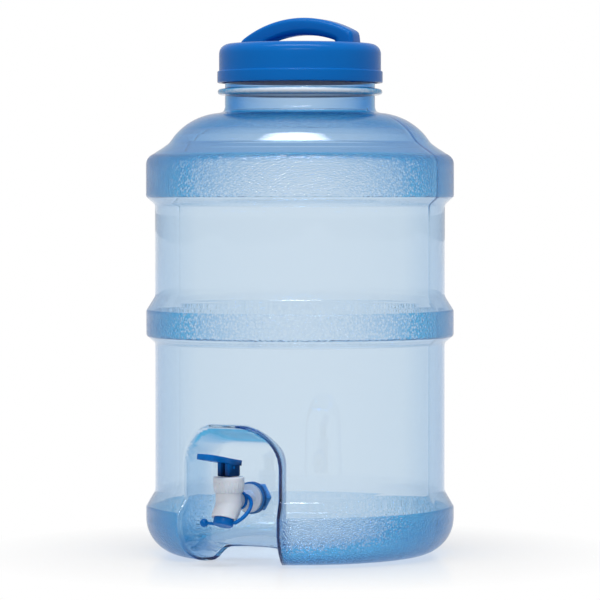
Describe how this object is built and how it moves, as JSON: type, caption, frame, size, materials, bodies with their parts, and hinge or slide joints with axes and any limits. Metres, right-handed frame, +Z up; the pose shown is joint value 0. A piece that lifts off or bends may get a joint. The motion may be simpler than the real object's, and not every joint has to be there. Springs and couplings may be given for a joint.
{
  "type": "carboy with spigot",
  "caption": "Ribbed wide-mouth water carboy with a screw cap, moulded carry handle, recessed lever tap and tethered dust cap.",
  "frame": {"origin": "on the bottle's axis, in the plane of the ring that it stands on", "axes": "+Z up along the bottle's axis, -Y towards the tap"},
  "size_m": [0.2708, 0.2932, 0.4702],
  "materials": {
    "clear_blue": "clear tinted, stippled on the bands",
    "blue_plastic": "satin",
    "white_plastic": "gloss",
    "silicone": "satin",
    "blue_rubber": "satin",
    "black_rubber": "satin",
    "spring_steel": "bright"
  },
  "bodies": {
    "bottle": {"bottle": "clear_blue", "tap_body": "white_plastic", "tap_bonnet": "white_plastic", "stem_seal_ring": "black_rubber", "closing_spring": "spring_steel", "front_washer": "blue_rubber", "back_washer": "blue_rubber", "lock_nut": "blue_plastic", "dust_cap_tether": "blue_plastic"},
    "cap_carrier": {"cap_seal": "silicone"},
    "cap": {"screw_cap": "blue_plastic"},
    "plug": {"valve_plug": "silicone"},
    "stem": {"valve_stem": "white_plastic"},
    "lever": {"lever": "blue_plastic", "lever_pin": "spring_steel"},
    "dust_cap": {"dust_cap": "blue_plastic"}
  },
  "joints": [
    {"name": "cap_rise", "type": "slide", "parent": "bottle", "child": "cap_carrier", "axis": [0, 0, 1], "range_m": [0, 0.00901]},
    {"name": "cap_unscrew", "type": "hinge", "parent": "cap_carrier", "child": "cap", "pos_m": [0, 0, 0.43], "axis": [0, 0, 1], "range_deg": [0, 540]},
    {"name": "stem_lift", "type": "slide", "parent": "bottle", "child": "plug", "axis": [0, 0, 1], "range_m": [0, 0.0022], "deforming": ["closing_spring"]},
    {"name": "lever_swivel", "type": "hinge", "parent": "plug", "child": "stem", "pos_m": [0, -0.123, 0.06], "axis": [0, 0, 1], "range_deg": [-80, 100]},
    {"name": "lever_press", "type": "hinge", "parent": "stem", "child": "lever", "pos_m": [0, -0.123, 0.084], "axis": [0.9848, -0.1736, 0], "range_deg": [0, 20], "stiffness_Nm_per_rad": 0.8, "springref_deg": -5.73},
    {"name": "dust_cap_pull", "type": "slide", "parent": "bottle", "child": "dust_cap", "axis": [0, -0.342, -0.9397], "range_m": [0, 0.012], "deforming": ["dust_cap_tether"]}
  ],
  "couplings": [
    {"joint": "cap_rise", "follows": "cap_unscrew", "m_per_rad": 0.00095493},
    {"joint": "stem_lift", "follows": "lever_press", "m_per_rad": 0.006}
  ]
}
